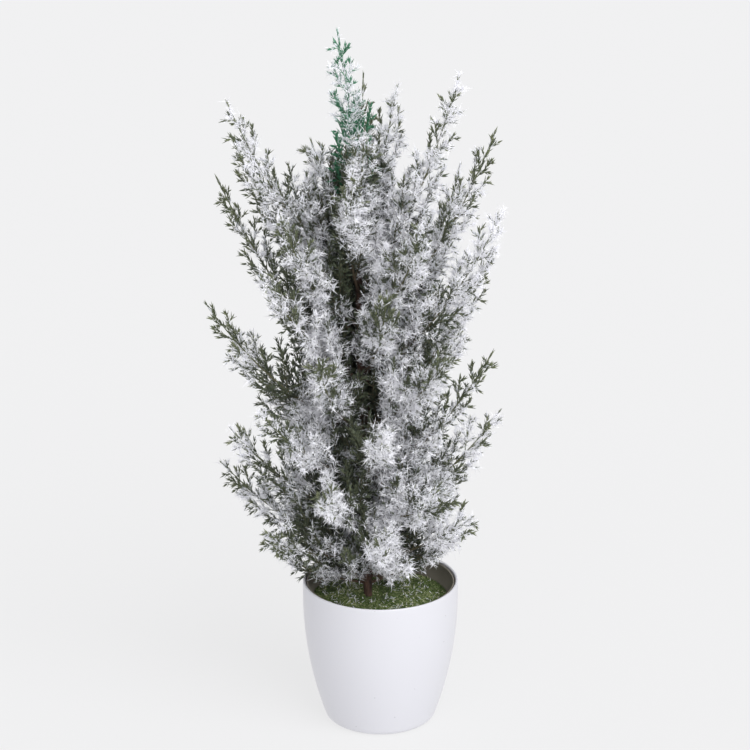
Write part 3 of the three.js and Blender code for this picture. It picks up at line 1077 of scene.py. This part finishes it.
# ---- Leader ----
# The top spray is moulded in a brighter emerald plastic and plugs over the end of the core. It
# leans to the left and is a little less snowed than most branches.
emerald_leaf = finish(
    "emerald leaf",
    leaf_skin,
    {
        # The darkest emerald is painted shade deep in the leader's spray.
        "Deep Tone And Painted Shade": (0.015, 0.09, 0.04, 1),
        "Grown": (0.06, 0.22, 0.12, 1),
        "Young": (0.18, 0.38, 0.26, 1),
        "Frosted": (0.46, 0.62, 0.58, 1),
        "Stem Foot": (0.03, 0.16, 0.05, 1),
        "Stem Tip": (0.06, 0.26, 0.12, 1),
    },
    0.3,
    0.0002,
)
LEADER_STEM_R = 0.0016
LEADER_SPIKE = 0.008  # the thin tip beyond the modelled solid
LEADER_SEED = 99
LEADER_COVER = 0.46
LEADER_LIFT = 0.1
LEADER_FIRST_SPRIG = 0.1
LEADER_SCALE = 0.85
leader_foot = middle_near(frame["nodes"]["leader"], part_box("leader")[0].z)[0]
leader_tip = max((v.co for v in frame["nodes"]["leader"].data.vertices), key=lambda p: p.z).copy()
leader_tip += (leader_tip - leader_foot).normalized() * LEADER_SPIKE
leader_rise = (leader_tip - leader_foot).length
leader_pull = leader_foot + (bark_head - bark_foot).normalized() * leader_rise / 2


def leader_line(share):
    """The leader's stem from the bark to its tip."""
    early = leader_foot * (1 - share) ** 2 + leader_pull * 2 * share * (1 - share)
    return early + leader_tip * share**2


leader_spray = Spray(LEADER_SEED, LEADER_COVER, LEADER_LIFT)
stem_mesh(leader_spray.bm, leader_line, LEADER_STEM_R, STEM_TIP_R, 0)
leader_spray.grow(leader_line, LEADER_FIRST_SPRIG, LEADER_SCALE)
leader = new_piece("foliage_leader", leader_spray.bm, emerald_leaf)
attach(leader, "planting")
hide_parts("leader")
leader_flock = flocked(leader_spray.catches, SNOW_SEED + LEADER_SEED)
leader_snow = new_piece("snow_leader", leader_flock, white_flock)
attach(leader_snow, "planting")


# ---- Moss ----
# A mat of green artificial moss lies on the ballast and is pressed up to the bark. It is a lumpy
# felt with curly threads standing in it, pale crumbs, and some white flock that fell from the tree.
moss_low, moss_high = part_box("moss_mat")
MOSS_EDGE_DROP = 0.0025  # the mat's edge is this much lower than its middle
MOSS_LUMP = 0.0016
MOSS_SIDES = 72
MOSS_RINGS = 16
moss_r = moss_high.x


def moss_top(share, turn):
    """A place on the mat's lumpy top; share runs from the bark to the edge."""
    hole = Vector((bark_foot.x, bark_foot.y))
    radius = bark_foot_r + 0.0002 + (moss_r - bark_foot_r) * share
    spot = hole * (1 - share) + Vector((math.cos(turn), math.sin(turn))) * radius
    flat = spot.length / moss_r
    lump = noise.noise(Vector((spot.x, spot.y, 0)) * 90) + 0.6 * noise.noise(spot.to_3d() * 260)
    z = moss_high.z - MOSS_EDGE_DROP * flat**2 + MOSS_LUMP * lump * min(1, (1 - share) * 8)
    return Vector((spot.x, spot.y, z))


moss_bm = bmesh.new()
moss_rings = []
for k in range(MOSS_RINGS + 2):
    share = min(1, k / MOSS_RINGS)
    ring = bmesh.ops.create_circle(moss_bm, segments=MOSS_SIDES, radius=1)["verts"]
    for j, vert in enumerate(ring):
        vert.co = moss_top(share, math.tau * j / MOSS_SIDES)
        if k > MOSS_RINGS:
            vert.co.z = moss_low.z
    moss_rings.append(ring)
bridged(moss_bm, moss_rings)
bmesh.ops.holes_fill(moss_bm, edges=moss_bm.edges, sides=MOSS_SIDES)
for face in moss_bm.faces:
    face.smooth = True
moss_felt = finish(
    "green felt",
    skin,
    {
        "Tone": (0.035, 0.07, 0.015, 1),
        "Other Tone": (0.13, 0.19, 0.05, 1),
        "Speck": (0.3, 0.34, 0.14, 1),
        "Speck Size": 0.25,
        "Speck Spacing": 420.0,
        "Mottle Scale": 150.0,
        "Grain Scale": 900.0,
        "Roughness": 0.85,
        "Roughness Spread": 0.15,
    },
    0.9,
    0.0008,
)
moss = new_piece("moss_felt", moss_bm, moss_felt)
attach(moss, "planting")
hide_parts("moss_mat")

MOSS_THREADS = 5200
MOSS_THREAD_LENGTHS = (0.0022, 0.0048)
MOSS_THREAD_WIDTH = 0.0008
MOSS_CRUMBS = 700
MOSS_CRUMB_LENGTHS = (0.0012, 0.0024)
MOSS_CRUMB_WIDTH = 0.0014
MOSS_SUNK = 0.0004  # how deep both stand in the felt
MOSS_FLOCK = 230
MOSS_FLOCK_RISE = 0.0015
FALLEN_SIZE = 0.36  # the fibres that fell are the short ones
FALLEN_FLOCK = (0.2, 0.9)  # shares of the way out from the bark where most of it lies
moss_thread = finish(
    "green threads",
    leaf_skin,
    {
        "Deep Tone And Painted Shade": (0.018, 0.03, 0.01, 1),
        "Grown": (0.12, 0.18, 0.045, 1),
        "Young": (0.5, 0.54, 0.27, 1),
        "Frosted": (0.42, 0.42, 0.22, 1),
        "Snow": (0.72, 0.7, 0.5, 1),
        "Stem Foot": (0.1, 0.07, 0.03, 1),
        "Stem Tip": (0.2, 0.2, 0.08, 1),
    },
    0.3,
    0.0002,
)
moss_rng = random.Random(7)
threads = bmesh.new()
threads.loops.layers.uv.new(MAP)
for k in range(MOSS_THREADS + MOSS_CRUMBS):
    spread = math.sqrt(moss_rng.random()) * 0.97
    place = moss_top(spread, moss_rng.uniform(0, math.tau))
    turn = moss_rng.uniform(0, math.tau)
    lean = Vector((math.cos(turn), math.sin(turn), moss_rng.uniform(-0.15, 0.9)))
    if k < MOSS_THREADS:
        patch = 0.5 + 0.55 * noise.noise(place * 60) + moss_rng.uniform(-0.3, 0.3)
        shape = clean_leaves[max(0, min(int(LEAF_TONES * patch), LEAF_TONES - 1))]
        long = moss_rng.uniform(*MOSS_THREAD_LENGTHS)
        wide = MOSS_THREAD_WIDTH
    else:
        shape = moss_rng.choice(dusted_leaves)
        long = moss_rng.uniform(*MOSS_CRUMB_LENGTHS)
        wide = MOSS_CRUMB_WIDTH
    across = side_way(lean.normalized(), turn)
    stamp(threads, shape, place - lean * MOSS_SUNK, lean, across, long, wide, wide)
moss_curls = new_piece("moss_threads", threads, moss_thread)
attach(moss_curls, "planting")
fallen = []
for k in range(MOSS_FLOCK):
    spread = moss_rng.uniform(*FALLEN_FLOCK)
    place = moss_top(spread, moss_rng.uniform(0, math.tau)) + Vector((0, 0, MOSS_FLOCK_RISE))
    fallen.append((place, Vector((moss_rng.gauss(0, 1), moss_rng.gauss(0, 1), 0.15)), 0.5))
moss_flock = new_piece("moss_flock", flocked(fallen, 2000, FALLEN_SIZE), white_flock)
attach(moss_flock, "planting")


# ---- Studio ----
# A plain pale floor, a bright even room, one broad soft light from the right and the front, and a
# weak one from straight ahead.
FLOOR_SIZE = 12
FLOOR_GLOW = 0.7
ROOM_STRENGTH = 0.62
CAMERA_LENS = 162
CAMERA_PLACE = (-0.0049, -2.8, 1.3586)
AIM_Z = 0.33
bpy.context.scene.view_settings.view_transform = "Standard"
floor_bm = bmesh.new()
bmesh.ops.create_grid(floor_bm, x_segments=1, y_segments=1, size=FLOOR_SIZE)
floor_paint = bpy.data.materials.new("pale floor")
floor_paint.use_nodes = True
floor_shader = floor_paint.node_tree.nodes["Principled BSDF"]
floor_shader.inputs["Base Color"].default_value = (0.16, 0.16, 0.165, 1)
floor_shader.inputs["Roughness"].default_value = 1.0
floor_shader.inputs["Specular IOR Level"].default_value = 0.0
floor_shader.inputs["Emission Color"].default_value = (1, 1, 1, 1)
floor_shader.inputs["Emission Strength"].default_value = FLOOR_GLOW
floor = new_piece("floor", floor_bm, floor_paint)

world = bpy.data.worlds.new("room")
world.use_nodes = True
world.node_tree.nodes["Background"].inputs["Color"].default_value = (1, 1, 1.02, 1)
world.node_tree.nodes["Background"].inputs["Strength"].default_value = ROOM_STRENGTH
bpy.context.scene.world = world

LIGHTS = [
    ("soft light", 1.95, math.radians(50), Vector((-0.55, 0.75, -0.9))),
    ("front fill", 0.55, math.radians(70), Vector((0.1, 1, -0.35))),
]
for light_name, energy, spread, shines in LIGHTS:
    light = bpy.data.objects.new(light_name, bpy.data.lights.new(light_name, "SUN"))
    light.data.energy = energy
    light.data.angle = spread
    light.rotation_euler = shines.to_track_quat("-Z", "Y").to_euler()
    bpy.context.scene.collection.objects.link(light)

camera = bpy.data.objects.new("camera", bpy.data.cameras.new("camera"))
camera.data.lens = CAMERA_LENS
camera.location = CAMERA_PLACE
aim = Vector((CAMERA_PLACE[0], 0, AIM_Z))
camera.rotation_euler = (aim - camera.location).to_track_quat("-Z", "Y").to_euler()
bpy.context.scene.collection.objects.link(camera)
bpy.context.scene.camera = camera
